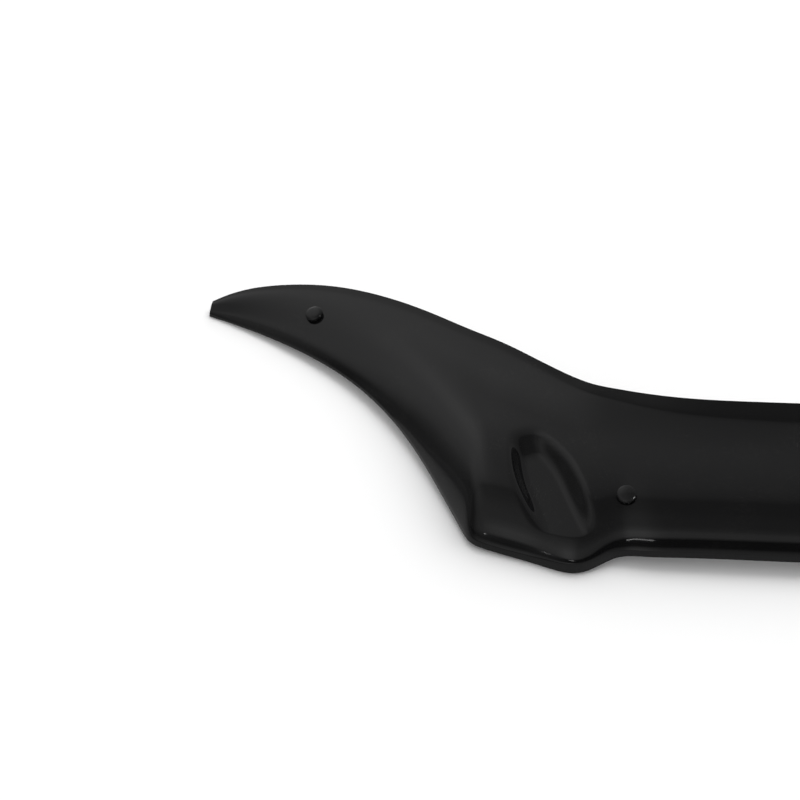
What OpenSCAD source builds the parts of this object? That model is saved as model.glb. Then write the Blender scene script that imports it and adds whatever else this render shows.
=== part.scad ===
// Bug deflector for the front edge of a truck hood: one curved sheet, formed hot over a mould,
// with two horns that reach back over the lamps. Four rubber buttons pass through it and cushion
// it from the hood, and three strips of foam tape hold it. Millimetres, +X to the right,
// +Y to the rear of the vehicle, +Z up. It lies as on a table, on its two prows and two tips.

/* [Lower edge, seen from above] */
// Width across the two horn tips
span = 1361; // [1320:1:1400]
// How far the middle of the lower edge lies behind the prows
middle_back = 4.5; // [0:0.5:12]
// Distance of the hollow beside each prow from the centre plane
hollow_out = 272; // [264:1:278]
// How far that hollow lies behind the prows
hollow_back = 27; // [20:0.5:32]
// Distance of each prow from the centre plane
prow_out = 306.5; // [300:0.5:316]
// Distance of each outer corner from the centre plane
corner_out = 409; // [402:0.5:418]
// How far that corner lies behind the prows
corner_back = 47.5; // [42:0.5:56]
// Sideways part of the short leg over which the corner turns
corner_turn_out = 5; // [2:0.5:8]
// Rearward part of that leg
corner_turn_back = 13; // [8:0.5:18]
// How far the horn's lower edge bows inward of the straight line from that corner to the tip
horn_bow = 54; // [46:0.5:62]
// Where along that line it bows most, from the corner
horn_reach = 253.5; // [240:0.5:266]
// How far the tips lie behind the prows
tip_back = 402; // [392:1:412]

/* [Upper edge, seen from above] */
// How far the middle of the upper edge lies behind the prows
rear_back = 152; // [142:1:164]
// Distance of the knee, where the upper edge turns to the horn, from the centre plane
knee_out = 262; // [254:1:270]
// How far the knee lies behind the prows
knee_back = 189.5; // [182:0.5:198]
// Distance of the root of the horn from the centre plane
root_out = 376; // [368:1:384]
// How far the root lies behind the prows
root_back = 282; // [274:1:290]
// How far the rearmost part of the horn lies inside the tip
crown_in = 40.5; // [30:0.5:50]
// How far that part lies behind the tip
crown_behind = 23.5; // [14:0.5:34]
// How far the upper corner of the blunt tip lies inside its lower corner
tip_in = 3; // [1:0.5:6]
// How far it lies behind the lower corner
tip_depth = 14; // [9:0.5:18]

/* [Heights above the table] */
// Lower edge in the middle
middle_lift = 14; // [10:0.5:18]
// Lower edge at the hollow beside the prow
hollow_lift = 8; // [5:0.5:11]
// Lower edge at the outer corner
corner_lift = 3.5; // [2:0.5:6]
// Lower edge of the horn where it bows most
horn_lift = 9; // [6:0.5:12]
// Upper edge in the middle
middle_up = 82; // [74:1:92]
// Upper edge at the knee
knee_up = 74; // [68:1:82]
// Upper edge at the root of the horn
root_up = 63; // [57:1:69]
// Upper edge at the rearmost part of the horn
crown_up = 23; // [20:1:28]
// Upper corner of the tip
tip_up = 10; // [8:0.5:14]

/* [Sheet] */
// Thickness of the sheet
thickness = 3; // [2:0.1:3.6]
// Height of the upright lip in the middle
lip_middle = 12; // [9:0.5:15]
// Height of the lip at the outer corner
lip_corner = 11.5; // [9:0.5:14]
// Height of the lip where the horn bows most
lip_horn = 8.5; // [6.5:0.5:10]
// Height of the lip at the tip
lip_tip = 5; // [3.5:0.5:6.5]
// How far the lip leans back from upright, in degrees
lip_lean = 8; // [4:1:14]
// Reach of the bend above the lip
bend = 7; // [5:0.25:8]
// Slope of the face just above the bend, in degrees, in the middle
rise_middle = 46; // [40:1:54]
// The same at the outer corner
rise_corner = 46; // [40:1:52]
// The same where the horn bows most
rise_horn = 18; // [12:1:26]
// The same at the tip
rise_tip = 12; // [6:1:20]
// Slope of the face just before it flares up, in degrees, in the middle
crest_middle = 12; // [6:1:18]
// The same at the outer corner
crest_corner = 12; // [6:1:18]
// The same where the horn bows most
crest_horn = 4; // [0:1:10]
// The same at the tip
crest_tip = 2; // [0:1:8]
// Slope of the flared band along the upper edge, in degrees, in the middle
flare_middle = 36; // [28:1:44]
// The same at the outer corner
flare_corner = 26; // [20:1:32]
// The same where the horn bows most
flare_horn = 16; // [10:1:22]
// The same at the tip
flare_tip = 8; // [4:1:14]
// Width of the flared band in the middle
band_middle = 22; // [17:1:28]
// The same at the knee
band_knee = 12; // [9:1:16]
// The same at the outer corner
band_corner = 10; // [8:1:14]
// The same where the horn bows most
band_horn = 10; // [7:1:14]
// The same at the tip
band_tip = 3; // [2:0.5:4]

/* [Flute] */
// Distance of the flute's upper end from the centre plane
flute_top_out = 356; // [350:1:362]
// How far that end lies behind the prows
flute_top_back = 156; // [148:1:164]
// Distance of its lower end from the centre plane
flute_foot_out = 314; // [308:1:322]
// How far that end lies behind the prows
flute_foot_back = 16; // [10:1:24]
// Width of the flute at its upper end
flute_top_w = 16; // [10:1:24]
// Width of the flute at its lower end
flute_foot_w = 46; // [40:1:54]
// Length over which it widens
flute_taper = 80; // [65:1:100]
// Width of each of its flanks
flute_flank = 14; // [11:1:18]
// Length of the slope down to its floor at the upper end
flute_step = 38; // [28:1:46]
// Height of its floor at the upper end
flute_top_up = 48; // [46:0.5:50]
// Height of its floor at the lower end
flute_foot_up = 27; // [24:0.5:30]
// Sideways slope of its floor, in degrees
flute_cant = 8; // [4:0.5:11]
// How soft the edge is in which its floor ends
flute_soft = 0.9; // [0.6:0.1:2]

/* [Buttons] */
// Diameter of a button's head
head_d = 18.5; // [16:0.5:22]
// Height of the head above the sheet
head_h = 5.6; // [4.6:0.1:7]
// Height of its straight side
head_side = 3; // [2:0.1:3.6]
// Diameter of its flat top
head_flat = 12; // [9:0.5:14]
// Diameter of the neck
neck_d = 8; // [6:0.5:10]
// Gap round the neck in its hole
neck_gap = 0.3; // [0.2:0.05:0.6]
// Diameter of the cushion below the sheet
cushion_d = 16; // [13:0.5:20]
// Height of the cushion
cushion_h = 9; // [6:0.5:12]
// Radius round the cushion's lower edge
cushion_round = 3; // [1:0.5:4]
// How far the horn's button lies inside the tip, taken at the bend
horn_button_in = 108.2; // [98:0.1:118]
// How far it lies from the bend
horn_button_up = 34.8; // [30:0.2:42]
// How far the face's button lies inside the prow, taken at the bend
face_button_in = 43.4; // [36:0.2:50]
// How far it lies from the bend
face_button_up = 38.1; // [32:0.1:44]

/* [Foam tape] */
// Width of the tape
tape_w = 13; // [8:0.5:16]
// Thickness of the tape
tape_t = 1.6; // [1:0.1:2.5]
// Distance from the bend to the tape's lower edge
tape_margin = 5; // [3:0.5:8]
// Length of the strip behind the middle, across the centre plane
tape_middle_len = 400; // [300:5:440]
// Length of each strip in the horns, across the part, halfway from the corner to the tip
tape_horn_len = 120; // [90:5:140]
// Gap between the sheet and what is seated on it
seat_gap = 0.3; // [0.25:0.05:0.5]

/* [Hidden] */
$fn = 48;

// The edges are lists of stations [out, back, up] from the centre plane to the tip. Between two
// named places the stations are shares of the way from one to the other: out, back and up.
function between(a, b, shares) =
    [for (s = shares) [for (k = [0:2]) a[k] + s[k] * (b[k] - a[k])]];

front_middle = [0, middle_back, middle_lift];
front_hollow = [hollow_out, hollow_back, hollow_lift];
front_prow = [prow_out, 0, 0];
front_corner = [corner_out, corner_back, corner_lift];
front_tip = [span / 2, tip_back, 0];
horn_way = unit([front_tip.x - corner_out, front_tip.y - corner_back]);
front_horn = [corner_out + horn_reach * horn_way.x - horn_bow * horn_way.y,
    corner_back + horn_reach * horn_way.y + horn_bow * horn_way.x, horn_lift];
corner_leg = [corner_turn_out, corner_turn_back, 0] / 2;
FRONT = concat(
    [front_middle],
    between(front_middle, front_hollow, [[0.37, 0.18, 0], [0.735, 0.51, 0.08], [0.905, 0.58, 0.33]]),
    [front_hollow, front_prow],
    between(front_prow, front_corner, [[0.375, 0.45, 0.29]]),
    [front_corner - corner_leg, front_corner + corner_leg],
    between(front_corner, front_horn, [[0.245, 0.31, 0.45], [0.53, 0.65, 1]]),
    [front_horn],
    between(front_horn, front_tip, [[0.445, 0.525, 0.33], [0.81, 0.85, 0.78]]),
    [front_tip]);

rear_middle = [0, rear_back, middle_up];
rear_knee = [knee_out, knee_back, knee_up];
rear_root = [root_out, root_back, root_up];
rear_crown = front_tip + [-crown_in, crown_behind, crown_up];
rear_tip = front_tip + [-tip_in, tip_depth, tip_up];
REAR = concat(
    [rear_middle],
    between(rear_middle, rear_knee, [[0.33, 0.2, 0.19], [0.69, 0.39, 0.5], [0.895, 0.735, 0.81]]),
    [rear_knee],
    between(rear_knee, rear_root, [[0.23, 0.095, 0.14], [0.525, 0.415, 0.365], [0.825, 0.795, 0.73]]),
    [rear_root],
    between(rear_root, rear_crown,
        [[0.12, 0.19, 0.14], [0.28, 0.48, 0.325], [0.49, 0.76, 0.525], [0.715, 0.955, 0.75]]),
    [rear_crown, rear_tip]);

// A size that changes along the part: its values in the middle, at the hollow and the knee, at
// the outer corner, where the horn bows most and at the tip
HOLLOW = 4;
CORNER = 8;
HORN = 11;
TIP = len(FRONT) - 1;
function mix(a, b, t) = a + t * (b - a);
function along(values, i) =
    i <= HOLLOW ? mix(values[0], values[1], i / HOLLOW)
    : i <= CORNER ? mix(values[1], values[2], (i - HOLLOW) / (CORNER - HOLLOW))
    : i <= HORN ? mix(values[2], values[3], (i - CORNER) / (HORN - CORNER))
    : mix(values[3], values[4], (i - HORN) / (TIP - HORN));
LIP = [lip_middle, lip_middle, lip_corner, lip_horn, lip_tip];
RISE = [rise_middle, rise_middle, rise_corner, rise_horn, rise_tip];
CREST = [crest_middle, crest_middle, crest_corner, crest_horn, crest_tip];
FLARE = [flare_middle, flare_middle, flare_corner, flare_horn, flare_tip];
BAND = [band_middle, band_knee, band_corner, band_horn, band_tip];

// Section of the sheet at one station, as control points in the upright plane through its two
// edges: lip, bend, face and flared band, each [back, up] from the lower edge
function direction(angle) = [cos(angle), sin(angle)];
function profile(i, deep, high) = let (
    lip = along(LIP, i),
    band = along(BAND, i),
    up = direction(90 - lip_lean),
    rise = direction(along(RISE, i)),
    crest = direction(along(CREST, i)),
    flare = direction(along(FLARE, i)),
    fold = up * lip / cos(lip_lean),
    break = [deep, high] - band * flare,
    reach = norm(break - fold),
    turn = min(bend, reach * 0.12))
    [[0, 0], fold * 0.45, fold - up * turn * 0.8, fold + rise * turn, fold + rise * reach * 0.22,
        (fold + break + (rise - crest) * reach * 0.38) / 2, break - crest * reach * 0.24,
        break - crest * band * 0.2, break + flare * band * 0.2, [deep, high]];
function station(i) = let (
    foot = FRONT[i],
    across = [REAR[i].x - foot.x, REAR[i].y - foot.y],
    deep = norm(across),
    way = across / deep)
    [for (p = profile(i, deep, REAR[i].z - foot.z)) foot + [way.x * p.x, way.y * p.x, p.y]];

// Control net from the left tip to the right one, its border points three times over, so that
// the smooth surface ends on them
function mirrored(row) = [for (p = row) [-p.x, p.y, p.z]];
function bordered(list) = let (end = len(list) - 1)
    concat([list[0], list[0]], list, [list[end], list[end]]);
HALF = [for (i = [0:TIP]) station(i)];
NET = bordered([for (i = [-TIP:TIP]) bordered(i < 0 ? mirrored(HALF[-i]) : HALF[i])]);
DEGREE = 3;
U_END = len(NET) - DEGREE;
V_END = len(NET[0]) - DEGREE;
U_MIDDLE = U_END / 2;
V_BEND = 4;

// The flute: a channel with a straight floor, pressed down into the bulge of the face. It widens
// toward the prow and ends where its floor comes out of the face. The lip keeps its line.
flute_top = [flute_top_out, flute_top_back];
flute_run = [flute_foot_out, flute_foot_back] - flute_top;
flute_long = norm(flute_run);
flute_way = flute_run / flute_long;
FLUTE_START = 0.2;
V_LIP = 2.5;
V_FACE = 4.5;
function smooth(t) = let (s = min(max(t, 0), 1)) s * s * s * (s * (6 * s - 15) + 10);
function above(height) = (height + sqrt(height * height + flute_soft * flute_soft)) / 2;
function fluted(p, v) = let (
    from_top = [abs(p.x), p.y] - flute_top,
    down = from_top * flute_way,
    aside = from_top * [-flute_way.y, flute_way.x],
    wide = mix(flute_top_w, flute_foot_w, smooth(mix(FLUTE_START, 1, down / flute_taper))),
    inside = 1 - smooth((abs(aside) - wide / 2) / flute_flank + 0.5),
    floor_up = mix(flute_top_up, flute_foot_up, down / flute_long) - aside * tan(flute_cant),
    sunk = above(p.z - floor_up) * smooth(down / flute_step),
    above_lip = smooth((v - V_LIP) / (V_FACE - V_LIP)))
    p - [0, 0, sunk * inside * above_lip];

// Point and outward normal of the outer skin, u along the part and v across it
function weights(f) =
    [pow(1 - f, 3), 3 * pow(f, 3) - 6 * f * f + 4, -3 * pow(f, 3) + 3 * f * f + 3 * f + 1, pow(f, 3)] / 6;
function skin(u, v) = let (
    i = max(min(floor(u), U_END - 1), 0),
    j = max(min(floor(v), V_END - 1), 0),
    across = weights(v - j))
    fluted(weights(u - i) * [for (k = [i:i + 3]) across * [for (m = [j:j + 3]) NET[k][m]]], v);
function unit(a) = a / norm(a);
function inward(t, end) = min(max(t, 0.1), end - 0.1);
function normal(u, v) = let (
    a = inward(u, U_END),
    b = inward(v, V_END),
    e = 0.01)
    unit(cross(skin(a + e, b) - skin(a - e, b), skin(a, b + e) - skin(a, b - e)));

// Steps in each span between two stations, from the middle to the tip, and across the section
STEPS_ALONG = [2, 2, 3, 4, 6, 9, 11, 3, 5, 4, 3, 3, 3, 2, 1];
STEPS_ACROSS = [1, 1, 2, 2, 3, 3, 3, 2, 2, 1, 1];
function knots(steps) =
    concat([for (k = [0:len(steps) - 1]) for (s = [0:steps[k] - 1]) k + s / steps[k]], [len(steps)]);
U_KNOTS = knots([for (k = [0:U_END - 1]) STEPS_ALONG[floor(abs(k + 0.5 - U_MIDDLE))]]);
V_KNOTS = knots(STEPS_ACROSS);
OUTER = [for (u = U_KNOTS) [for (v = V_KNOTS) skin(u, v)]];
INNER = [for (u = U_KNOTS) [for (v = V_KNOTS) skin(u, v) - thickness * normal(u, v)]];

// The part is centred front to rear and stands on the lowest points of its prows and tips
ALL = [for (row = concat(OUTER, INNER)) each row];
YS = [for (p = ALL) p.y];
place = [0, -(min(YS) + max(YS)) / 2, -min([for (p = ALL) p.z])];

// Solid between an upper grid of points and a lower one
function quad(a, b, c, d) = [[a, b, c], [a, c, d]];
function slab_faces(rows, cols) = let (
    under = rows * cols,
    r = rows - 1,
    c = cols - 1)
    concat(
        [for (i = [0:r - 1]) for (j = [0:c - 1]) let (a = i * cols + j)
            each quad(a, a + 1, a + cols + 1, a + cols)],
        [for (i = [0:r - 1]) for (j = [0:c - 1]) let (a = under + i * cols + j)
            each quad(a, a + cols, a + cols + 1, a + 1)],
        [for (i = [0:r - 1]) let (a = i * cols)
            each quad(a, a + cols, under + a + cols, under + a)],
        [for (i = [0:r - 1]) let (a = i * cols + c)
            each quad(a + cols, a, under + a, under + a + cols)],
        [for (j = [0:c - 1]) each quad(j + 1, j, under + j, under + j + 1)],
        [for (j = [0:c - 1]) let (a = r * cols + j)
            each quad(a, a + 1, under + a + 1, under + a)]);
module slab(upper, lower) {
    points = [for (row = concat(upper, lower)) each row];
    polyhedron(points, slab_faces(len(upper), len(upper[0])), convexity = 8);
}

// A place on the skin: its distance from the centre plane, taken at the bend, and its distance
// from the bend, both found by Newton steps from a station nearby
TURNS = 8;
E = 0.001;
function u_at(out, u, turns) = turns == 0 ? u : let (x = skin(u, V_BEND).x)
    u_at(out, u + (out - x) * E / (skin(u + E, V_BEND).x - x), turns - 1);
function from_bend(u, v) = norm(skin(u, v) - skin(u, V_BEND));
function v_at(u, far, v, turns) = turns == 0 ? v : let (d = from_bend(u, v))
    v_at(u, far, v + (far - d) * E / (from_bend(u, v + E) - d), turns - 1);
function along_bend(out, near) = u_at(out, U_MIDDLE + near, TURNS);
function up_from_bend(u, far) = v_at(u, far, V_BEND + 1, TURNS);
function spot(out, far, near) = let (u = along_bend(out, near)) [u, up_from_bend(u, far)];
FACE_SPOT = spot(prow_out - face_button_in, face_button_up, HOLLOW);
HORN_SPOT = spot(span / 2 - horn_button_in, horn_button_up, HORN);

// Puts a child made about +Z on the skin, its XY plane at the outer face
module on_skin(uv) {
    n = normal(uv[0], uv[1]);
    translate(skin(uv[0], uv[1])) rotate([0, acos(n.z), atan2(n.y, n.x)]) children();
}
module both_sides() {
    children();
    mirror([1, 0, 0]) children();
}

HOLE_SPARE = 4;
hole_length = 2 * (thickness + HOLE_SPARE);
module hole() cylinder(d = neck_d + 2 * neck_gap, h = hole_length, center = true);
module shield() color("#1b1b1d") translate(place) difference() {
    slab(OUTER, INNER);
    both_sides() {
        on_skin(FACE_SPOT) hole();
        on_skin(HORN_SPOT) hole();
    }
}

// Profile of a button about its axis: cushion, neck and head
function arc(centre, radius, from, to, steps) =
    [for (k = [0:steps]) centre + radius * direction(mix(from, to, k / steps))];
cushion_top = -thickness - seat_gap;
crown_rise = head_h - head_side;
crown_run = (head_d - head_flat) / 2;
function crown() = [for (k = [0:6]) let (a = 15 * k)
    [head_flat / 2 + crown_run * cos(a), seat_gap + head_side + crown_rise * sin(a)]];
button_profile = concat(
    [[0, cushion_top - cushion_h]],
    arc([cushion_d / 2 - cushion_round, cushion_top - cushion_h + cushion_round], cushion_round, -90, 0, 6),
    [[cushion_d / 2, cushion_top], [neck_d / 2, cushion_top], [neck_d / 2, seat_gap], [head_d / 2, seat_gap]],
    crown(),
    [[0, seat_gap + head_h]]);
module button(uv) color("#242424") translate(place) on_skin(uv) rotate_extrude() polygon(button_profile);
module button_face_right() button(FACE_SPOT);
module button_horn_right() button(HORN_SPOT);
module button_face_left() mirror([1, 0, 0]) button_face_right();
module button_horn_left() mirror([1, 0, 0]) button_horn_right();

// A strip of tape on the inner side: it keeps its distance from the bend and follows the sheet,
// and its ends lie at two distances from the centre plane. The strips in the horns lie halfway
// between the outer corner and the tip.
TAPE_COLUMNS = 4;
MIDDLE_ROWS = 33;
HORN_ROWS = 13;
function tape_row(u, depth) = [for (k = [0:TAPE_COLUMNS]) let (
    v = up_from_bend(u, tape_margin + tape_w * k / TAPE_COLUMNS))
    skin(u, v) - normal(u, v) * depth];
module tape(middle, long, rows, near_station) {
    stops = [for (k = [0:rows]) along_bend(middle + (k / rows - 0.5) * long, near_station)];
    near = thickness + seat_gap;
    color("#3a3a3c") translate(place) slab(
        [for (u = stops) tape_row(u, near)],
        [for (u = stops) tape_row(u, near + tape_t)]);
}
module tape_middle() tape(0, tape_middle_len, MIDDLE_ROWS, 0);
module tape_right() tape((corner_out + span / 2) / 2, tape_horn_len, HORN_ROWS, HORN);
module tape_left() mirror([1, 0, 0]) tape_right();

shield();
button_face_left();
button_face_right();
button_horn_left();
button_horn_right();
tape_middle();
tape_left();
tape_right();
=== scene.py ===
# %% [markdown]
# # A bug deflector for a truck's hood
# The real part is one sheet of black plastic, warmed until it is soft and drawn over a mould, with
# a bright gloss on its outer side. It wraps round the front of a hood and reaches back over the
# lamps in two horns. Four rubber buttons cushion it from the paint and three foam strips hold it.
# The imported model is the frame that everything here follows, so it is loaded first.

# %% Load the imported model
import math
import bpy
import numpy as np
from mathutils import Matrix, Vector


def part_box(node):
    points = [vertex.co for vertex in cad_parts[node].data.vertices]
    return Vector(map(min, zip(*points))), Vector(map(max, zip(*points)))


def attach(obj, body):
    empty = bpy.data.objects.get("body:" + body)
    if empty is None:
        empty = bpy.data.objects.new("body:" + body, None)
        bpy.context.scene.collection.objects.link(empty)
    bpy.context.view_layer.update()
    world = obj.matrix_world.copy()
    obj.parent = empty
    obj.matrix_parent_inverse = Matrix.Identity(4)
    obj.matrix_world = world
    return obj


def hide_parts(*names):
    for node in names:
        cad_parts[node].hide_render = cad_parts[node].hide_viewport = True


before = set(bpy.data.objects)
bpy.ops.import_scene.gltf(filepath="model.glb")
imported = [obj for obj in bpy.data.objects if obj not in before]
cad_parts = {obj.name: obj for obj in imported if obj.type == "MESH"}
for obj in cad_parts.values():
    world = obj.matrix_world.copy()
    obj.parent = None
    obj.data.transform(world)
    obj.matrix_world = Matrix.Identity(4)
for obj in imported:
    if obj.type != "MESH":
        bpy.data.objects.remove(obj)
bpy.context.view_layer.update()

print("CAD nodes:", sorted(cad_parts))

# %% [markdown]
# ## Small helpers
# An operator works on whatever is selected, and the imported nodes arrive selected. So each step
# first deselects everything and then takes hold of one piece.

# %% Helpers for taking hold of a piece
MM = 0.001


def only(piece):
    """Deselects everything and makes this one piece the selected and active one."""
    bpy.ops.object.select_all(action="DESELECT")
    piece.select_set(True)
    bpy.context.view_layer.objects.active = piece


def settle(piece):
    """Moves the piece's place into its mesh, so that its object sits at the origin."""
    only(piece)
    bpy.ops.object.transform_apply(location=True, rotation=True, scale=True)


def with_modifier(piece, kind, **values):
    """Adds a modifier with these values and applies it."""
    only(piece)
    modifier = piece.modifiers.new(kind.title(), kind)
    for name, value in values.items():
        setattr(modifier, name, value)
    bpy.ops.object.modifier_apply(modifier=modifier.name)


def hand_over(piece, node):
    """Puts the piece under the root body, hides the CAD node that it stands for and names that node."""
    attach(piece, "root")
    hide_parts(node)
    print(piece.name, "has", len(piece.data.polygons), "faces and stands for", node)


# %% [markdown]
# ## The two edges of the sheet
# Seen from above, the outline is what makes this part: a shallow bow in the middle, a prow on each
# side, a corner, and the long horn. It is kept as two lists of stations from the centre plane to
# the tip, one for the lower edge and one for the upper edge. Named places come first and the
# stations between them are shares of the way, so that the outline can be changed as a mould maker
# would change it: by moving the places that matter.

# %% Stations along the lower and the upper edge, in millimetres


def between(a, b, shares):
    """Stations on the way from a to b, as shares of the way out, back and up."""
    return [tuple(p + s * (q - p) for p, q, s in zip(a, b, share)) for share in shares]


LOW_MIDDLE, LOW_HOLLOW, PROW = (0, 4.5, 14), (272, 27, 8), (306.5, 0, 0)
CORNER_AT, TIP_LOW = (409, 47.5, 3.5), (680.5, 402, 0)
HORN_REACH, HORN_BOW = 253.5, 54
horn_way = Vector((TIP_LOW[0] - CORNER_AT[0], TIP_LOW[1] - CORNER_AT[1])).normalized()
LOW_HORN = (CORNER_AT[0] + HORN_REACH * horn_way.x - HORN_BOW * horn_way.y,
            CORNER_AT[1] + HORN_REACH * horn_way.y + HORN_BOW * horn_way.x, 9)
CORNER_IN = (CORNER_AT[0] - 2.5, CORNER_AT[1] - 6.5, CORNER_AT[2])
CORNER_PAST = (CORNER_AT[0] + 2.5, CORNER_AT[1] + 6.5, CORNER_AT[2])
LOWER = [LOW_MIDDLE]
LOWER += between(LOW_MIDDLE, LOW_HOLLOW, [(0.37, 0.18, 0), (0.735, 0.51, 0.08), (0.905, 0.58, 0.33)])
LOWER += [LOW_HOLLOW, PROW] + between(PROW, CORNER_AT, [(0.375, 0.45, 0.29)])
LOWER += [CORNER_IN, CORNER_PAST]
LOWER += between(CORNER_AT, LOW_HORN, [(0.245, 0.31, 0.45), (0.53, 0.65, 1)]) + [LOW_HORN]
LOWER += between(LOW_HORN, TIP_LOW, [(0.445, 0.525, 0.33), (0.81, 0.85, 0.78)]) + [TIP_LOW]

TOP_MIDDLE, KNEE, ROOT = (0, 152, 82), (262, 189.5, 74), (376, 282, 63)
CROWN, TIP_TOP = (640, 425.5, 23), (677.5, 416, 10)
UPPER = [TOP_MIDDLE]
UPPER += between(TOP_MIDDLE, KNEE, [(0.33, 0.2, 0.19), (0.69, 0.39, 0.5), (0.895, 0.735, 0.81)])
UPPER += [KNEE]
UPPER += between(KNEE, ROOT, [(0.23, 0.095, 0.14), (0.525, 0.415, 0.365), (0.825, 0.795, 0.73)])
UPPER += [ROOT]
UPPER += between(ROOT, CROWN, [(0.12, 0.19, 0.14), (0.28, 0.48, 0.325), (0.49, 0.76, 0.525),
                               (0.715, 0.955, 0.75)])
UPPER += [CROWN, TIP_TOP]
LOWER, UPPER = np.array(LOWER, float), np.array(UPPER, float)
print(len(LOWER), "stations on each edge, span", 2 * LOWER[-1][0], "mm")

# %% [markdown]
# ## The section of the sheet
# Cut across, the sheet is an upright lip, a tight bend, a face that lies flatter the further it
# goes back, and a band that flares up along the rear edge. At each station the section is ten
# control points, and its angles change from the middle to the corner, the horn and the tip. Only
# at the prow the plastic is drawn round a tighter edge of the mould, so the bend there is sharper.

# %% Control points of a section
HOLLOW_STATION, CORNER_STATION, HORN_STATION, TIP_STATION = 4, 8, 11, 14
LIP_HEIGHT = (12, 12, 11.5, 8.5, 5)
RISE_ANGLE = (46, 46, 46, 18, 12)
CREST_ANGLE = (12, 12, 12, 4, 2)
FLARE_ANGLE = (36, 36, 26, 16, 8)
BAND_WIDTH = (22, 12, 10, 10, 3)
LIP_LEAN, BEND_REACH = 8, 7
PROW_STATION, NOSE_REACH = 5, 1


def along(values, station):
    """A size that changes along the part, at one station."""
    marks = (0, HOLLOW_STATION, CORNER_STATION, HORN_STATION, TIP_STATION)
    return float(np.interp(station, marks, values))


def heading(angle):
    """The direction that leaves the table at this angle, as [back, up]."""
    return np.array([math.cos(math.radians(angle)), math.sin(math.radians(angle))])


def section(station):
    """The ten control points of one station's section, each [out, back, up]."""
    foot, top = LOWER[station], UPPER[station]
    deep = math.hypot(*(top - foot)[:2])
    end = np.array([deep, top[2] - foot[2]])
    band = along(BAND_WIDTH, station)
    up, rise = heading(90 - LIP_LEAN), heading(along(RISE_ANGLE, station))
    crest, flare = heading(along(CREST_ANGLE, station)), heading(along(FLARE_ANGLE, station))
    fold = up * along(LIP_HEIGHT, station) / math.cos(math.radians(LIP_LEAN))
    turn_up = end - band * flare
    reach = np.linalg.norm(turn_up - fold)
    bend = min(NOSE_REACH if station == PROW_STATION else BEND_REACH, reach * 0.12)
    flat = [end * 0, fold * 0.45, fold - up * bend * 0.8, fold + rise * bend, fold + rise * reach * 0.22]
    flat += [(fold + turn_up + (rise - crest) * reach * 0.38) / 2, turn_up - crest * reach * 0.24]
    flat += [turn_up - crest * band * 0.2, turn_up + flare * band * 0.2, end]
    way = (top - foot)[:2] / deep
    return [(foot[0] + way[0] * p[0], foot[1] + way[1] * p[0], foot[2] + p[1]) for p in flat]


half_net = np.array([section(station) for station in range(TIP_STATION + 1)])
mirrored = half_net[:0:-1] * [-1, 1, 1]
net = np.concatenate([mirrored, half_net])
U_END, V_END, U_MIDDLE, V_BEND = len(net) + 1, net.shape[1] + 1, TIP_STATION + 1, 4
print("control net:", net.shape[0], "stations of", net.shape[1], "points")

# %% [markdown]
# ## One smooth skin through the net
# Hot plastic has no creases of its own, so the net is read as a cubic B-spline in both directions.
# The ends count three times, which makes the skin finish on its outermost stations. Then the flute
# is pressed down into it on each side: a channel with a straight floor that widens to the prow.
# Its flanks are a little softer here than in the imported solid, as drawn plastic comes out.

# %% The smooth skin and its flutes


def spline(points, t, axis):
    """Reads control points as a uniform cubic B-spline at the places t along one axis."""
    points = np.moveaxis(points, axis, 0)
    points = np.concatenate([points[:1], points[:1], points, points[-1:], points[-1:]])
    t = np.asarray(t, float)
    start = np.clip(np.floor(t).astype(int), 0, len(points) - 4)
    f = t - start
    shares = [(1 - f) ** 3, 3 * f ** 3 - 6 * f ** 2 + 4, -3 * f ** 3 + 3 * f ** 2 + 3 * f + 1, f ** 3]
    shape = (-1,) + (1,) * (points.ndim - 1)
    read = sum((share / 6).reshape(shape) * points[start + k] for k, share in enumerate(shares))
    return np.moveaxis(read, 0, axis)


def smooth(t):
    """Goes from 0 to 1 with no kink at either end."""
    t = np.clip(t, 0, 1)
    return t ** 3 * (t * (6 * t - 15) + 10)


FLUTE_TOP, FLUTE_FOOT = np.array([356.0, 156.0]), np.array([314.0, 16.0])
FLUTE_WIDTHS, FLUTE_TAPER, FLUTE_FLANK, FLUTE_STEP = (16, 46), 80, 22, 38
FLOOR_HEIGHTS, FLOOR_CANT, FLOOR_EDGE = (48, 27), 8, 0.9


def fluted(p, v):
    """Presses the flute into points of the skin. The lip keeps its line."""
    run = FLUTE_FOOT - FLUTE_TOP
    length = np.linalg.norm(run)
    way = run / length
    from_top = np.stack([np.abs(p[..., 0]), p[..., 1]], -1) - FLUTE_TOP
    down, aside = from_top @ way, from_top @ np.array([-way[1], way[0]])
    widening = smooth(0.2 + 0.8 * down / FLUTE_TAPER)
    wide = FLUTE_WIDTHS[0] + (FLUTE_WIDTHS[1] - FLUTE_WIDTHS[0]) * widening
    inside = 1 - smooth((np.abs(aside) - wide / 2) / FLUTE_FLANK + 0.5)
    floor = FLOOR_HEIGHTS[0] + (FLOOR_HEIGHTS[1] - FLOOR_HEIGHTS[0]) * down / length
    floor = floor - aside * math.tan(math.radians(FLOOR_CANT))
    over = p[..., 2] - floor
    over = (over + np.sqrt(over ** 2 + FLOOR_EDGE ** 2)) / 2
    sunk = over * smooth(down / FLUTE_STEP) * inside * smooth((v - V_BEND + 1.5) / 2)
    return p - sunk[..., None] * np.array([0, 0, 1.0])


def skin(u, v):
    """The outer skin on a grid of places: u along the part, v from the lower edge up."""
    return fluted(spline(spline(net, u, 0), v, 1), np.asarray(v)[None, :])


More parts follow.
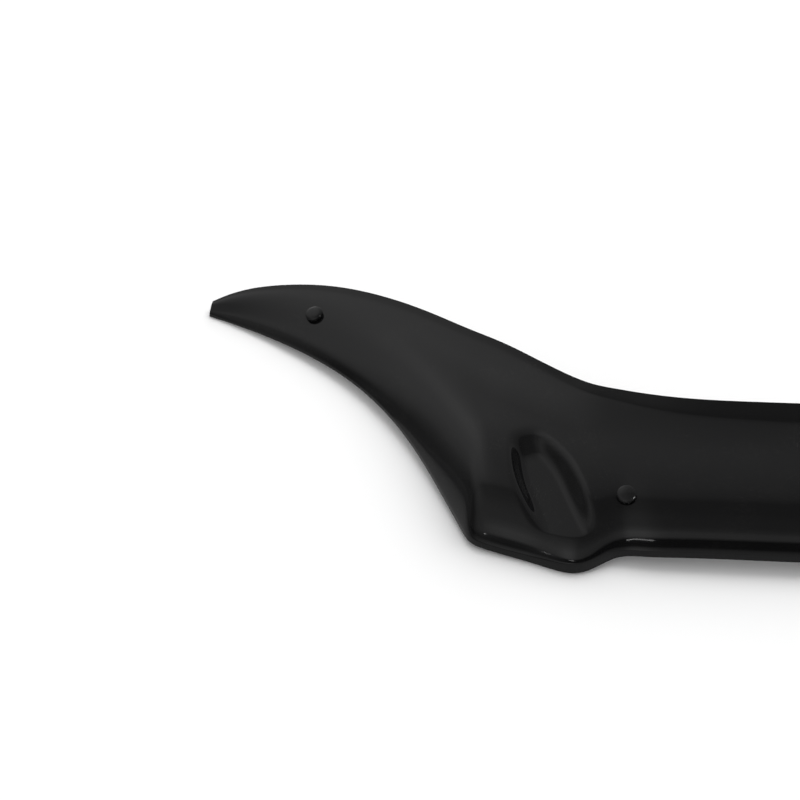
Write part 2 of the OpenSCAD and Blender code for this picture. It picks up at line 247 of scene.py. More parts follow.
def skin_normals(u, v):
    """Outward normals on the same grid."""
    u, v, e = np.clip(u, 0.1, U_END - 0.1), np.clip(v, 0.1, V_END - 0.1), 0.01
    n = np.cross(skin(u + e, v) - skin(u - e, v), skin(u, v + e) - skin(u, v - e))
    return n / np.linalg.norm(n, axis=-1, keepdims=True)


def skin_point(u, v):
    """One point of the skin and its normal."""
    return skin(np.array([u]), np.array([v]))[0, 0], skin_normals(np.array([u]), np.array([v]))[0, 0]


print("middle of the face:", skin_point(U_MIDDLE, 6)[0].round(1), "mm")

# %% [markdown]
# ## The sheet itself
# A flat grid is added and each of its points is moved to its place on the skin, with more rows
# where the sheet bends. It could also be drawn as a NURBS patch, but a mesh takes the holes and
# the rounded cut edge. Solidify then gives the real thickness of 3 mm, inward, as on the mould.

# %% A grid, laid on the skin
THICKNESS = 3.0
STEPS_ALONG = [7, 7, 8, 8, 16, 32, 36, 8, 10, 12, 12, 10, 10, 9, 5]
STEPS_UP = [3, 3, 6, 13, 16, 16, 14, 9, 6, 5, 4]


def knots(steps):
    """Places along a row of spans, each divided into its own number of steps."""
    return np.concatenate([[0.0]] + [k + (np.arange(n) + 1) / n for k, n in enumerate(steps)])


U_PLACES, V_PLACES = knots(STEPS_ALONG[::-1] + STEPS_ALONG), knots(STEPS_UP)
bpy.ops.object.select_all(action="DESELECT")
U_STEPS, V_STEPS = len(U_PLACES) - 1, len(V_PLACES) - 1
bpy.ops.mesh.primitive_grid_add(x_subdivisions=U_STEPS, y_subdivisions=V_STEPS, size=2)
sheet = bpy.context.object
sheet.name = "formed_sheet"
flat = np.zeros(len(sheet.data.vertices) * 3)
sheet.data.vertices.foreach_get("co", flat)
flat = flat.reshape(-1, 3)
columns = np.round((flat[:, 0] + 1) / 2 * U_STEPS).astype(int)
rows = np.round((flat[:, 1] + 1) / 2 * V_STEPS).astype(int)
outer = skin(U_PLACES, V_PLACES)
normals = skin_normals(U_PLACES, V_PLACES)
sheet.data.vertices.foreach_set("co", (outer[columns, rows] * MM).ravel())
sheet.data.update()
print("grid of", len(U_PLACES), "by", len(V_PLACES), "points on the skin")

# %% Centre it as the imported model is
both = np.concatenate([outer.reshape(-1, 3), (outer - THICKNESS * normals).reshape(-1, 3)])
cad_low, cad_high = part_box("shield")
shift = Vector((0, (cad_low.y + cad_high.y) / 2 - (both[:, 1].min() + both[:, 1].max()) / 2 * MM,
                cad_low.z - both[:, 2].min() * MM))
sheet.location = shift
settle(sheet)
print("shift to the frame:", [round(c, 5) for c in shift])

# %% Give it thickness, with its own material slots for the inner side and the cut edge
for name in ("gloss_side", "mould_side", "cut_edge"):
    sheet.data.materials.append(bpy.data.materials.new(name))
with_modifier(sheet, "SOLIDIFY", thickness=THICKNESS * MM, offset=-1, use_rim=True,
              use_quality_normals=True, material_offset=1, material_offset_rim=2)
print("sheet with thickness:", len(sheet.data.polygons), "faces")

# %% [markdown]
# ## Holes for the buttons
# Each button's neck passes a hole that is drilled square to the skin. Its place is named as a
# workshop would mark it: so far from the centre plane at the bend, and so far from the bend up the
# sheet. Both are found on the skin by a few small steps, and the strips below use the same marks.

# %% Find the places of the buttons
HORN_BUTTON, FACE_BUTTON = (572.3, 34.8), (263.1, 38.1)


def along_bend(out, near):
    """Where along the part the bend lies this far from the centre plane."""
    u, e = U_MIDDLE + near, 0.001
    for _ in range(8):
        x = skin_point(u, V_BEND)[0][0]
        u += (out - x) * e / (skin_point(u + e, V_BEND)[0][0] - x)
    return u


def up_from_bend(u, far):
    """Where across the section a point lies this far from the bend."""
    v, e, start = V_BEND + 1.0, 0.001, skin_point(u, V_BEND)[0]
    for _ in range(8):
        d = np.linalg.norm(skin_point(u, v)[0] - start)
        v += (far - d) * e / (np.linalg.norm(skin_point(u, v + e)[0] - start) - d)
    return v


def spot(place, near):
    """The place (u, v) on the skin of a mark given by its two distances."""
    u = along_bend(place[0], near)
    return u, up_from_bend(u, place[1])


def standing(u, v):
    """A matrix that stands a piece made about +Z on the skin."""
    p, n = skin_point(u, v)
    turn = Vector(n).to_track_quat("Z", "Y").to_matrix().to_4x4()
    return Matrix.Translation(Vector(p) * MM + shift) @ turn


STANDS = {"face_right": standing(*spot(FACE_BUTTON, HOLLOW_STATION)),
          "horn_right": standing(*spot(HORN_BUTTON, HORN_STATION))}
MIRROR = Matrix.Diagonal((-1, 1, 1, 1))
for name in ("face", "horn"):
    STANDS[name + "_left"] = MIRROR @ STANDS[name + "_right"] @ MIRROR
print({name: [round(c, 4) for c in m.translation] for name, m in STANDS.items()})

# %% Drill the holes
NECK, NECK_GAP, DRILL_LENGTH = 8.0, 0.3, 14
for name, stand in STANDS.items():
    bpy.ops.object.select_all(action="DESELECT")
    bpy.ops.mesh.primitive_cylinder_add(vertices=40, radius=(NECK / 2 + NECK_GAP) * MM,
                                        depth=DRILL_LENGTH * MM)
    drill = bpy.context.object
    drill.matrix_world = stand
    settle(drill)
    with_modifier(sheet, "BOOLEAN", operation="DIFFERENCE", solver="EXACT", object=drill)
    bpy.data.objects.remove(drill)
print("sheet with", len(STANDS), "holes:", len(sheet.data.polygons), "faces")

# %% [markdown]
# ## The cut edge
# A formed sheet is trimmed with a router and its edge is then scraped and polished, so its two
# corners are slightly round. This edge catches a thin bright line all round the part. The bevel
# takes only the square corners, because every bend of the sheet is far softer. It isn't clamped,
# as a single very short edge at a tip would then make it thin everywhere. This skin is finer than
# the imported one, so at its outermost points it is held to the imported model's box. The few points
# that the bevel puts on one another are merged last, which closes the mesh.

# %% Round the cut edge
EDGE_ROUND, SQUARE_CORNER, TOUCHING = 0.5, math.radians(55), 0.0005
with_modifier(sheet, "BEVEL", width=EDGE_ROUND * MM, segments=3, limit_method="ANGLE",
              angle_limit=SQUARE_CORNER, use_clamp_overlap=False, harden_normals=False)
corners = np.zeros(len(sheet.data.vertices) * 3)
sheet.data.vertices.foreach_get("co", corners)
inside = np.clip(corners.reshape(-1, 3), np.array(cad_low), np.array(cad_high))
sheet.data.vertices.foreach_set("co", inside.ravel())
sheet.data.update()
only(sheet)
bpy.ops.object.mode_set(mode="EDIT")
bpy.ops.mesh.select_all(action="SELECT")
bpy.ops.mesh.remove_doubles(threshold=TOUCHING * MM)
bpy.ops.object.mode_set(mode="OBJECT")
bpy.ops.object.shade_smooth_by_angle(angle=math.radians(38))
hand_over(sheet, "shield")

# %% [markdown]
# ## The rubber buttons
# A button is moulded in one piece: a head with a soft rounded edge, a neck, and a cushion below
# the sheet that rests on the paint. It could be spun from a profile. Here it grows from a disc, by
# extruding its end face ring by ring and scaling it, which keeps every ring easy to change.

# %% The rings of a button, each (height, radius) in millimetres
HEAD, CUSHION, CUSHION_HEIGHT, CUSHION_ROUND, SEAT_GAP = 18.5, 16.0, 9.0, 3, 0.3
SIDE_HEIGHT, CROWN_HEIGHT, CROWN_POWER = 3, 2.6, 2.3
UNDER, HEAD_FOOT = -THICKNESS - SEAT_GAP, SEAT_GAP
RINGS = [(UNDER - CUSHION_HEIGHT + CUSHION_ROUND * (1 - math.cos(a)),
          CUSHION / 2 - CUSHION_ROUND * (1 - math.sin(a))) for a in np.radians([15, 30, 45, 60, 75, 90])]
RINGS += [(UNDER - 5, CUSHION / 2), (UNDER - 0.4, CUSHION / 2), (UNDER, CUSHION / 2 - 0.4)]
RINGS += [(UNDER, NECK / 2 + 0.4), (UNDER + 0.4, NECK / 2), (HEAD_FOOT - 0.3, NECK / 2)]
RINGS += [(HEAD_FOOT, NECK / 2 + 0.3), (HEAD_FOOT, HEAD / 2 - 0.5), (HEAD_FOOT + 0.5, HEAD / 2)]
RINGS += [(HEAD_FOOT + 2.2, HEAD / 2), (HEAD_FOOT + SIDE_HEIGHT, HEAD / 2 - 0.05)]
RINGS += [(HEAD_FOOT + SIDE_HEIGHT + CROWN_HEIGHT * (1 - far ** CROWN_POWER) ** (1 / CROWN_POWER),
           HEAD / 2 * far) for far in (0.985, 0.955, 0.91, 0.85, 0.77, 0.67, 0.55, 0.42, 0.28, 0.14, 0.05)]
print(len(RINGS), "rings from the cushion's foot to the middle of the head")

# %% Grow one button from a disc


def grow_button(name):
    """One button about +Z, its XY plane at the outer face of the sheet."""
    bpy.ops.object.select_all(action="DESELECT")
    radius, height = CUSHION / 2 - CUSHION_ROUND, UNDER - CUSHION_HEIGHT
    bpy.ops.mesh.primitive_circle_add(vertices=56, radius=radius * MM, fill_type="NGON",
                                      location=(0, 0, height * MM))
    piece = bpy.context.object
    piece.name = name
    settle(piece)
    bpy.ops.object.mode_set(mode="EDIT")
    bpy.ops.mesh.select_all(action="SELECT")
    bpy.ops.mesh.flip_normals()
    for up, wide in RINGS:
        bpy.ops.mesh.extrude_region_move(TRANSFORM_OT_translate={"value": (0, 0, (up - height) * MM)})
        bpy.ops.transform.resize(value=(wide / radius, wide / radius, 1), center_override=(0, 0, up * MM))
        radius, height = wide, up
    bpy.ops.mesh.select_all(action="SELECT")
    bpy.ops.mesh.remove_doubles(threshold=0.00001)
    bpy.ops.mesh.normals_make_consistent(inside=False)
    bpy.ops.object.mode_set(mode="OBJECT")
    return piece


first_button = grow_button("button_pattern")
print("button:", len(first_button.data.vertices), "points, height",
      round(first_button.dimensions.z / MM, 2), "mm")

# %% Copy it to its four places, each copy with its own mesh
buttons = []
for name, stand in STANDS.items():
    button = first_button.copy()
    button.data = first_button.data.copy()
    button.name = "rubber_button_" + name
    bpy.context.scene.collection.objects.link(button)
    button.matrix_world = stand
    settle(button)
    bpy.ops.object.shade_smooth_by_angle(angle=math.radians(50))
    hand_over(button, "button_" + name)
    buttons.append(button)
bpy.data.objects.remove(first_button)

# %% [markdown]
# ## The foam strips
# Each strip is foam tape of 13 by 1.6 mm behind the lip, stuck to the inner side a few millimetres
# above the bend. A narrow grid is laid a seat's gap below the sheet, so that it follows every
# curve of it, and Solidify and a small bevel make it a strip with soft edges. The strip of the
# middle is long, and each horn has a short one halfway between its corner and its tip.

# %% Strips that follow the sheet
TAPE_WIDE, TAPE_THICK, TAPE_MARGIN = 13.0, 1.6, 5.0
MIDDLE_LENGTH, HORN_LENGTH = 400, 120


def strip(name, node, middle, near, length, across=6, step=7.0):
    """A strip of this length across the part, centred this far from the centre plane."""
    rings = round(length / step)
    bpy.ops.object.select_all(action="DESELECT")
    bpy.ops.mesh.primitive_grid_add(x_subdivisions=rings, y_subdivisions=across, size=2)
    piece = bpy.context.object
    piece.name = name
    places = {}
    for i in range(rings + 1):
        u = along_bend(middle + (i / rings - 0.5) * length, near)
        for j in range(across + 1):
            p, n = skin_point(u, up_from_bend(u, TAPE_MARGIN + TAPE_WIDE * j / across))
            places[i, j] = Vector(p - n * (THICKNESS + SEAT_GAP)) * MM + shift
    for vertex in piece.data.vertices:
        key = round((vertex.co.x + 1) / 2 * rings), round((vertex.co.y + 1) / 2 * across)
        vertex.co = places[key]
    with_modifier(piece, "SOLIDIFY", thickness=TAPE_THICK * MM, offset=-1, use_rim=True)
    with_modifier(piece, "BEVEL", width=0.3 * MM, segments=2, limit_method="ANGLE",
                  angle_limit=SQUARE_CORNER)
    bpy.ops.object.shade_smooth_by_angle(angle=math.radians(40))
    hand_over(piece, node)
    return piece


halfway = (CORNER_AT[0] + TIP_LOW[0]) / 2
tapes = [strip("foam_middle", "tape_middle", 0, 0, MIDDLE_LENGTH),
         strip("foam_right", "tape_right", halfway, HORN_STATION, HORN_LENGTH),
         strip("foam_left", "tape_left", -halfway, -HORN_STATION, HORN_LENGTH)]

# %% [markdown]
# ## Shared effects
# Every surface of a real part carries traces: the slight ripple of drawn plastic, dust that has
# settled on it, and fine wiping marks. Each effect is a node group, so that the sheet and the
# rubber can use it with their own values. A group puts out only masks and heights, and the shader
# stays in the material.

# %% Helpers for node groups and materials


def new_group(name, inputs, outputs):
    """A shader node group with float inputs (name, value) and outputs (name)."""
    group = bpy.data.node_groups.new(name, "ShaderNodeTree")
    for label, value in inputs:
        socket = group.interface.new_socket(label, in_out="INPUT", socket_type="NodeSocketFloat")
        socket.default_value = value
    for label in outputs:
        group.interface.new_socket(label, in_out="OUTPUT", socket_type="NodeSocketFloat")
    return group, group.nodes.new("NodeGroupInput"), group.nodes.new("NodeGroupOutput")


def add(tree, kind, settings=None, **inputs):
    """A node with its settings, and its inputs set to values or linked to sockets."""
    node = tree.nodes.new(kind)
    for label, value in (settings or {}).items():
        setattr(node, label, value)
    for label, value in inputs.items():
        key = int(label[1:]) if label[0] == "i" and label[1:].isdigit() else label.replace("_", " ")
        if isinstance(value, bpy.types.NodeSocket):
            tree.links.new(value, node.inputs[key])
        else:
            node.inputs[key].default_value = value
    return node


def math_node(tree, operation, *values):
    """A Math node on one to three values or sockets."""
    inputs = {"i%d" % k: value for k, value in enumerate(values)}
    return add(tree, "ShaderNodeMath", {"operation": operation}, **inputs).outputs[0]


# %% Ripple of the drawn sheet
ripple, enter, leave = new_group("drawn_ripple", [("Size", 1.0)], ["Height"])
where = add(ripple, "ShaderNodeTexCoord").outputs["Object"]
long_wave = add(ripple, "ShaderNodeTexNoise", Vector=where, Scale=9.0, Detail=1.5, Roughness=0.4)
peel = add(ripple, "ShaderNodeTexNoise", Vector=where, Scale=150.0, Detail=1.0, Roughness=0.5)
peel_part = math_node(ripple, "MULTIPLY", peel.outputs["Fac"], 0.035)
total = math_node(ripple, "ADD", long_wave.outputs["Fac"], peel_part)
ripple.links.new(math_node(ripple, "MULTIPLY", total, enter.outputs["Size"]), leave.inputs["Height"])
print("group", ripple.name)

# %% Settled dust and fine wiping marks
dust, enter, leave = new_group("settled_dust", [("Amount", 0.5), ("Grain", 900.0)], ["Specks", "Film"])
where = add(dust, "ShaderNodeTexCoord").outputs["Object"]
speck = add(dust, "ShaderNodeTexVoronoi", {"feature": "F1"}, Vector=where, Scale=enter.outputs["Grain"],
            Randomness=1.0)
near = math_node(dust, "LESS_THAN", speck.outputs["Distance"], 0.16)
patch = add(dust, "ShaderNodeTexNoise", Vector=where, Scale=22.0, Detail=4.0, Roughness=0.6)
some = add(dust, "ShaderNodeMapRange", Value=patch.outputs["Fac"], **{"From Min": 0.5, "From Max": 0.75})
chance = math_node(dust, "MULTIPLY", near, some.outputs[0])
dust.links.new(math_node(dust, "MULTIPLY", chance, enter.outputs["Amount"]), leave.inputs["Specks"])
smear = add(dust, "ShaderNodeMapping", Vector=where, Scale=(3.0, 26.0, 26.0), Rotation=(0.0, 0.0, 0.35))
film = add(dust, "ShaderNodeTexNoise", Vector=smear.outputs[0], Scale=3.0, Detail=5.0, Roughness=0.65)
soft = add(dust, "ShaderNodeMapRange", Value=film.outputs["Fac"], **{"From Min": 0.42, "From Max": 0.72})
dust.links.new(math_node(dust, "MULTIPLY", soft.outputs[0], enter.outputs["Amount"]), leave.inputs["Film"])
print("group", dust.name)

# %% [markdown]
# ## The black sheet
# The outer side is cast black plastic with a clear deep gloss: nearly all that it shows is what it
# mirrors. So the base stays very dark and the ripple, dust and film only bend and soften the
# mirrored room. The inner side touched the mould and is a little duller. The cut edge is scraped.

# %% Materials of the sheet


def placed(tree, group, **values):
    """The group as a node, with its own values."""
    node = tree.nodes.new("ShaderNodeGroup")
    node.node_tree = group
    for label, value in values.items():
        node.inputs[label].default_value = value
    return node


def sheet_material(material, low, high, height, amount, tone):
    """Dark plastic: roughness between low and high with its film, ripple as a bump."""
    material.use_nodes = True
    tree = material.node_tree
    shader = tree.nodes["Principled BSDF"]
    shader.inputs["IOR"].default_value = 1.49
    traces = placed(tree, dust, Amount=amount, Grain=900.0)
    waves = placed(tree, ripple, Size=1.0)
    mix = add(tree, "ShaderNodeMix", {"data_type": "RGBA"}, i0=traces.outputs["Specks"], i6=(*tone, 1),
              i7=(0.16, 0.155, 0.145, 1))
    tree.links.new(mix.outputs[2], shader.inputs["Base Color"])
    rough = add(tree, "ShaderNodeMapRange", Value=traces.outputs["Film"], **{"To Min": low, "To Max": high})
    speck_part = math_node(tree, "MULTIPLY", traces.outputs["Specks"], 0.4)
    dull = math_node(tree, "ADD", rough.outputs[0], speck_part)
    tree.links.new(dull, shader.inputs["Roughness"])
    bump = add(tree, "ShaderNodeBump", Height=waves.outputs["Height"], Strength=1.0, Distance=height)
    tree.links.new(bump.outputs[0], shader.inputs["Normal"])
    material.diffuse_color = (*tone, 1)


sheet_material(bpy.data.materials["gloss_side"], 0.05, 0.12, 0.0002, 0.5, (0.0038, 0.0038, 0.004))
sheet_material(bpy.data.materials["mould_side"], 0.16, 0.3, 0.0003, 0.7, (0.007, 0.007, 0.0073))
print("sheet materials:", [slot.name for slot in sheet.data.materials])

# %% The scraped and polished cut edge
cut = bpy.data.materials["cut_edge"]
cut.use_nodes = True
tree = cut.node_tree
where = add(tree, "ShaderNodeTexCoord").outputs["Object"]
scrape = add(tree, "ShaderNodeMapping", Vector=where, Scale=(60.0, 60.0, 1400.0))
lines = add(tree, "ShaderNodeTexNoise", Vector=scrape.outputs[0], Scale=1.0, Detail=3.0, Roughness=0.6)
tone = add(tree, "ShaderNodeMix", {"data_type": "RGBA"}, i0=lines.outputs["Fac"],
           i6=(0.012, 0.012, 0.0125, 1), i7=(0.032, 0.032, 0.033, 1))
tree.links.new(tone.outputs[2], tree.nodes["Principled BSDF"].inputs["Base Color"])
rough = add(tree, "ShaderNodeMapRange", Value=lines.outputs["Fac"], **{"To Min": 0.2, "To Max": 0.42})
tree.links.new(rough.outputs[0], tree.nodes["Principled BSDF"].inputs["Roughness"])
bump = add(tree, "ShaderNodeBump", Height=lines.outputs["Fac"], Strength=0.6, Distance=0.00006)
tree.links.new(bump.outputs[0], tree.nodes["Principled BSDF"].inputs["Normal"])
print("cut edge done")

# %% [markdown]
# ## Rubber and foam
# The buttons are smooth moulded rubber with a satin skin. The strips are closed-cell foam, whose
# cells show as small round pits, so a Voronoi texture makes the pits as a bump and paints shade into them
# as a darker tone; a noise adds blotches of the foam's own tone.

# %% Satin rubber
rubber = bpy.data.materials.new("satin_rubber")
rubber.use_nodes = True
tree = rubber.node_tree
shader = tree.nodes["Principled BSDF"]
traces = placed(tree, dust, Amount=0.6, Grain=1500.0)
tone = add(tree, "ShaderNodeMix", {"data_type": "RGBA"}, i0=traces.outputs["Film"],
           i6=(0.006, 0.006, 0.0062, 1), i7=(0.014, 0.014, 0.0145, 1))
tree.links.new(tone.outputs[2], shader.inputs["Base Color"])
rough = add(tree, "ShaderNodeMapRange", Value=traces.outputs["Film"], **{"To Min": 0.16, "To Max": 0.3})
tree.links.new(rough.outputs[0], shader.inputs["Roughness"])
where = add(tree, "ShaderNodeTexCoord").outputs["Object"]
grain = add(tree, "ShaderNodeTexNoise", Vector=where, Scale=2600.0, Detail=2.0)
bump = add(tree, "ShaderNodeBump", Height=grain.outputs["Fac"], Strength=0.5, Distance=0.00004)
tree.links.new(bump.outputs[0], shader.inputs["Normal"])
for button in buttons:
    button.data.materials.clear()
    button.data.materials.append(rubber)
print(len(buttons), "buttons in", rubber.name)

# %% Closed-cell foam
foam = bpy.data.materials.new("cell_foam")
foam.use_nodes = True
tree = foam.node_tree
shader = tree.nodes["Principled BSDF"]
where = add(tree, "ShaderNodeTexCoord").outputs["Object"]
cells = add(tree, "ShaderNodeTexVoronoi", {"feature": "F1"}, Vector=where, Scale=1500.0, Randomness=1.0)
blotch = add(tree, "ShaderNodeTexNoise", Vector=where, Scale=60.0, Detail=3.0)
pit_depth_and_shade = add(tree, "ShaderNodeMapRange", Value=cells.outputs["Distance"], **{"From Min": 0.1, "From Max": 0.6})
share = math_node(tree, "MULTIPLY", pit_depth_and_shade.outputs[0], math_node(tree, "ADD", blotch.outputs["Fac"], 0.3))
# Darker in the pits: painted shade. The blotches are the foam's own tone.
tone = add(tree, "ShaderNodeMix", {"data_type": "RGBA"}, i0=share, i6=(0.018, 0.018, 0.019, 1),
           i7=(0.062, 0.061, 0.062, 1))
tree.links.new(tone.outputs[2], shader.inputs["Base Color"])
shader.inputs["Roughness"].default_value = 0.85
bump = add(tree, "ShaderNodeBump", Height=pit_depth_and_shade.outputs[0], Strength=0.8, Distance=0.0001)
tree.links.new(bump.outputs[0], shader.inputs["Normal"])
for tape in tapes:
    tape.data.materials.clear()
    tape.data.materials.append(foam)
print(len(tapes), "strips in", foam.name)

# %% [markdown]
# ## The table and the plain light
# The part lies on a white table. Even light comes from the white room all round it, and a broad
# panel behind and to the right lays the soft shadow in front of the part. Together they light a
# surface so that its colour comes out about as it is written. The room looks fully white wherever
# it is seen directly, in a mirror or through glass, and it lights the part at half of that.

# %% White table
TABLE_SIZE, TABLE_TONE = 60, 0.96
bpy.ops.object.select_all(action="DESELECT")
bpy.ops.mesh.primitive_plane_add(size=TABLE_SIZE)
table = bpy.context.object
table.name = "white_table"
table_white = bpy.data.materials.new("table_white")
table_white.use_nodes = True
shader = table_white.node_tree.nodes["Principled BSDF"]
shader.inputs["Base Color"].default_value = (TABLE_TONE, TABLE_TONE, TABLE_TONE, 1)
shader.inputs["Roughness"].default_value = 1.0
shader.inputs["Specular IOR Level"].default_value = 0.0
table.data.materials.append(table_white)
print("white table of", TABLE_SIZE, "metres")

# %% White room
ROOM_LIGHT = 0.5
world = bpy.data.worlds.new("white_room")
bpy.context.scene.world = world
world.use_nodes = True
tree = world.node_tree
tree.nodes["Background"].inputs["Color"].default_value = (1, 1, 1, 1)
ray = add(tree, "ShaderNodeLightPath")
seen = math_node(tree, "MAXIMUM", ray.outputs["Is Camera Ray"], ray.outputs["Is Glossy Ray"])
seen = math_node(tree, "MAXIMUM", seen, ray.outputs["Is Transmission Ray"])
strength = math_node(tree, "MULTIPLY_ADD", seen, 1 - ROOM_LIGHT, ROOM_LIGHT)
tree.links.new(strength, tree.nodes["Background"].inputs["Strength"])
print("white room, its light at", ROOM_LIGHT)

# %% Broad panel behind
PANEL_LEAN, PANEL_TURN = math.radians(-48), math.radians(-25)
PANEL_WIDTH, PANEL_LIGHT = math.radians(70), 2.8
bpy.ops.object.select_all(action="DESELECT")
bpy.ops.object.light_add(type="SUN", rotation=(PANEL_LEAN, 0, PANEL_TURN))
panel = bpy.context.object
panel.name = "rear_panel"
panel.data.energy, panel.data.angle = PANEL_LIGHT, PANEL_WIDTH
panel.visible_glossy = False
print("panel as wide as", round(math.degrees(PANEL_WIDTH)), "degrees of the sky")

# %% [markdown]
# ## The painted reflections in the black sheet
# A black mirror shows the room, so its looks come from what stands round it. Here that room is a painted
# reflection, laid out as a studio would set up its cards: a wide soft panel overhead and behind, a dark
# band toward the front where dark cloth would hang, a low bright strip above that band, and paler walls
# to the left. It is one glowing dome about the table, painted by the direction in which a point of it is
# seen: how far it is over from the front horizon, and how far to the side. A grey card on the table paints
# the table's shade into the reflections, and small glowing patches paint glints. The dome, the card and
# the patches are only there for mirrored rays: the camera and the plain light pass them.

# %% Helpers for things that only mirrored rays meet


def mirrored_only(piece, material):
    """Hides a piece of the studio from everything but mirrored rays."""
    for kind in ("camera", "diffuse", "shadow", "transmission", "volume_scatter"):
        setattr(piece, "visible_" + kind, False)
    piece.data.materials.append(material)


def glowing(name):
    """A material that only glows, and its Emission node."""
    material = bpy.data.materials.new(name)
    material.use_nodes = True
    tree = material.node_tree
    tree.nodes.remove(tree.nodes["Principled BSDF"])
    glow = add(tree, "ShaderNodeEmission", Strength=1.0)
    tree.links.new(glow.outputs[0], tree.nodes["Material Output"].inputs["Surface"])
    return material, tree, glow


def tones_by(tree, value, stops, highest=1.0):
    """Reads a value through a ramp of (value, tone) stops."""
    low, high = stops[0][0], stops[-1][0]
    share = add(tree, "ShaderNodeMapRange", Value=value, **{"From Min": low, "From Max": high})
    ramp = add(tree, "ShaderNodeValToRGB", Fac=share.outputs[0])
    elements = ramp.color_ramp.elements
    while len(elements) < len(stops):
        elements.new(1.0)
    for element, (at, tone) in zip(elements, stops):
        element.position = (at - low) / (high - low)
        element.color = (tone / highest, tone / highest, tone / highest, 1)
    return math_node(tree, "MULTIPLY", ramp.outputs[0], highest)


# %% The painted reflection tones of the dome
# Each tone stands with its angle in degrees: over from the front horizon (0) by the zenith (90) to
# the rear horizon (180), and aside from the left (-90) to the right (90).
TONES_UP = [(0, 0.33), (6, 0.31), (12, 0.2), (16, 0.04), (30, 0.03), (34, 0.38), (40, 0.4), (45, 0.27),
            (52, 0.19), (66, 0.17), (80, 0.135), (93, 0.13), (99, 0.22), (108, 0.27), (120, 0.29),
            (150, 0.31), (166, 0.34), (174, 0.75), (180, 0.9)]
TONES_LEFT = [(0, 0.3), (12, 0.2), (20, 0.1), (28, 0.16), (36, 0.26), (60, 0.24), (84, 0.27), (95, 0.25),
              (104, 0.3), (116, 0.34), (132, 0.36), (142, 0.3), (180, 0.28)]
LEFT_BEGINS = [(-38, 1.0), (-22, 0.0)]
GAIN_ASIDE = [(-90, 0.5), (-75, 0.5), (-66, 0.45), (-58, 0.8), (-50, 1.2), (-40, 1.45), (-30, 1.65),
              (-22, 1.9), (-15, 1.85), (-8, 1.45), (-2, 1.1), (5, 1.0), (15, 0.9), (30, 0.8), (60, 0.6),
              (90, 0.6)]
HIGHEST_GAIN = 2.5
print("dome with", len(TONES_UP), "tones and", len(GAIN_ASIDE), "gains")

# %% The dome, glowing with painted reflections
DOME_RADIUS = 20.0
bpy.ops.object.select_all(action="DESELECT")
bpy.ops.mesh.primitive_uv_sphere_add(segments=96, ring_count=64, radius=DOME_RADIUS)
dome = bpy.context.object
dome.name = "painted_reflection_dome"
bpy.ops.object.mode_set(mode="EDIT")
bpy.ops.mesh.select_all(action="SELECT")
bpy.ops.mesh.bisect(plane_co=(0, 0, 0), plane_no=(0, 0, 1), clear_inner=True)
bpy.ops.object.mode_set(mode="OBJECT")
cards, tree, glow = glowing("painted_reflection_tones")
part = add(tree, "ShaderNodeSeparateXYZ", Vector=add(tree, "ShaderNodeTexCoord").outputs["Object"])
ahead = math_node(tree, "MULTIPLY", part.outputs["Y"], -1.0)
over = math_node(tree, "DEGREES", math_node(tree, "ARCTAN2", part.outputs["Z"], ahead))
squares = math_node(tree, "ADD", math_node(tree, "MULTIPLY", ahead, ahead),
                    math_node(tree, "MULTIPLY", part.outputs["Z"], part.outputs["Z"]))
away = math_node(tree, "SQRT", squares)
aside = math_node(tree, "DEGREES", math_node(tree, "ARCTAN2", part.outputs["X"], away))
ahead_tone, left_tone = tones_by(tree, over, TONES_UP), tones_by(tree, over, TONES_LEFT)
change = math_node(tree, "SUBTRACT", left_tone, ahead_tone)
tone = math_node(tree, "MULTIPLY_ADD", change, tones_by(tree, aside, LEFT_BEGINS), ahead_tone)
tone = math_node(tree, "MULTIPLY", tone, tones_by(tree, aside, GAIN_ASIDE, HIGHEST_GAIN))
tree.links.new(tone, glow.inputs["Color"])
mirrored_only(dome, cards)
print("dome of", DOME_RADIUS, "metres, with", len(dome.data.polygons), "faces")

# %% The grey card on the table: painted shade of the table in the reflections
# In mirrored rays it stands for the table, and its grey is the table's shade, painted. It is paler to the
# left, but dark from a few centimetres outside the straight line between the corner and the tip of the
# left horn, and that dark part is painted shade too.
CARD_SIZE, CARD_HEIGHT = 50, 0.0004
CARD_TONES, CARD_FADE = [(-1.5, 0.42), (-0.5, 0.33), (1.5, 0.3)], [(0.02, 1.0), (0.1, 0.4)]
bpy.ops.object.select_all(action="DESELECT")
bpy.ops.mesh.primitive_plane_add(size=CARD_SIZE, location=(0, 0, CARD_HEIGHT))
card = bpy.context.object
card.name = "painted_table_shade_card"
settle(card)
grey, tree, glow = glowing("painted_table_shade")
part = add(tree, "ShaderNodeSeparateXYZ", Vector=add(tree, "ShaderNodeTexCoord").outputs["Object"])
out_of_corner = math_node(tree, "ADD", part.outputs["X"], CORNER_AT[0] * MM)
back_of_corner = math_node(tree, "SUBTRACT", part.outputs["Y"], CORNER_AT[1] * MM + shift.y)
outside = math_node(tree, "MULTIPLY_ADD", back_of_corner, -horn_way.x,
                    math_node(tree, "MULTIPLY", out_of_corner, -horn_way.y))
tone = math_node(tree, "MULTIPLY", tones_by(tree, part.outputs["X"], CARD_TONES),
                 tones_by(tree, outside, CARD_FADE))
tree.links.new(tone, glow.inputs["Color"])
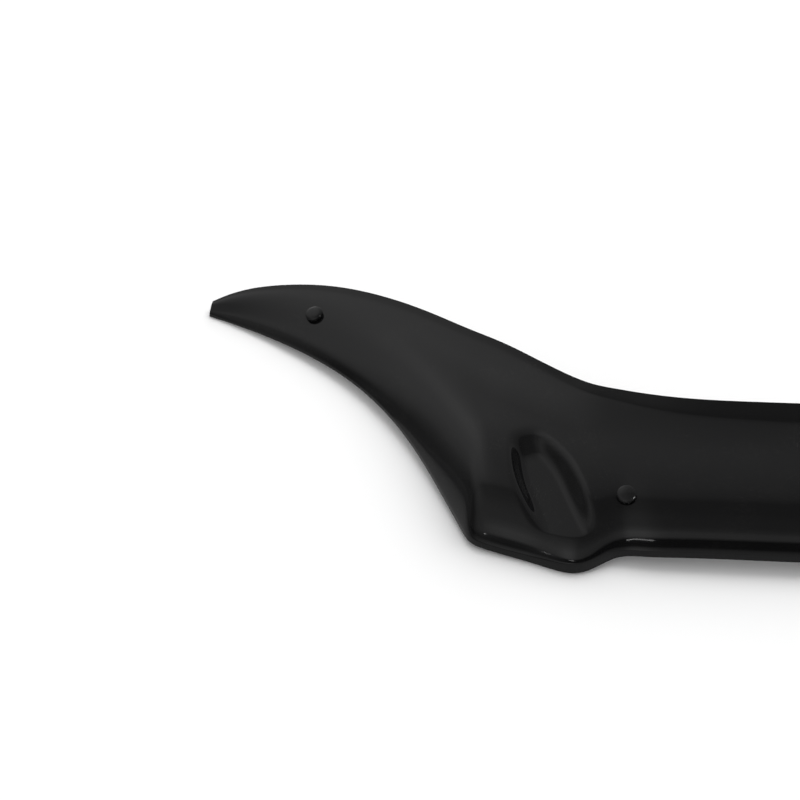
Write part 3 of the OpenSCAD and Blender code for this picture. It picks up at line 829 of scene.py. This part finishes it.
mirrored_only(card, grey)
print("grey card of", CARD_SIZE, "metres on the table")

# %% Small glowing patches that paint glints in the reflections, each (over from the front, aside, half height, half width in degrees, strength)
GLINT_PATCHES = {"glint_streak": (28.8, -13.5, 0.35, 5.5, 8), "glint_corner": (30, -35, 0.5, 0.6, 12),
         "glint_right": (60, 42, 6, 6, 12)}
GLINT_FAR = 18.0
for name, (over_angle, aside_angle, half_high, half_wide, strength) in GLINT_PATCHES.items():
    a, b = math.radians(over_angle), math.radians(aside_angle)
    toward = Vector((math.sin(b), -math.cos(b) * math.cos(a), math.cos(b) * math.sin(a)))
    bpy.ops.object.select_all(action="DESELECT")
    bpy.ops.mesh.primitive_plane_add(size=2)
    glint_patch = bpy.context.object
    glint_patch.name = name
    wide, high = GLINT_FAR * math.radians(half_wide), GLINT_FAR * math.radians(half_high)
    facing = (-toward).to_track_quat("Z", "Y").to_matrix().to_4x4()
    glint_patch.matrix_world = Matrix.Translation(toward * GLINT_FAR) @ facing @ Matrix.Diagonal((wide, high, 1, 1))
    settle(glint_patch)
    # Each patch glows only for mirrored rays and lights nothing: it is a painted glint.
    bright, tree, glow = glowing(name + "_glow")
    glow.inputs["Color"].default_value = (strength, strength, strength, 1)
    mirrored_only(glint_patch, bright)
print(len(GLINT_PATCHES), "small lamps")

# %% [markdown]
# ## The camera
# The photograph was read with one camera: an 85 mm lens on a 36 mm frame, 1.95 m away and 40
# degrees above the table. It looks at the left half of the part and has no roll.

# %% Camera at the photograph's angle
TARGET, FAR, UP_ANGLE = Vector((-0.473, 0.045438, 0.000395)), 1.95, math.radians(40)
eye = bpy.data.cameras.new("photo_camera")
eye.lens, eye.sensor_width = 85, 36
eye.clip_start, eye.clip_end = 0.05, 200
camera = bpy.data.objects.new("photo_camera", eye)
bpy.context.scene.collection.objects.link(camera)
camera.location = TARGET + FAR * Vector((0, -math.cos(UP_ANGLE), math.sin(UP_ANGLE)))
camera.rotation_euler = (math.pi / 2 - UP_ANGLE, 0, 0)
bpy.context.scene.camera = camera
bpy.context.scene.view_settings.view_transform = "Standard"
print("camera at", [round(c, 3) for c in camera.location])
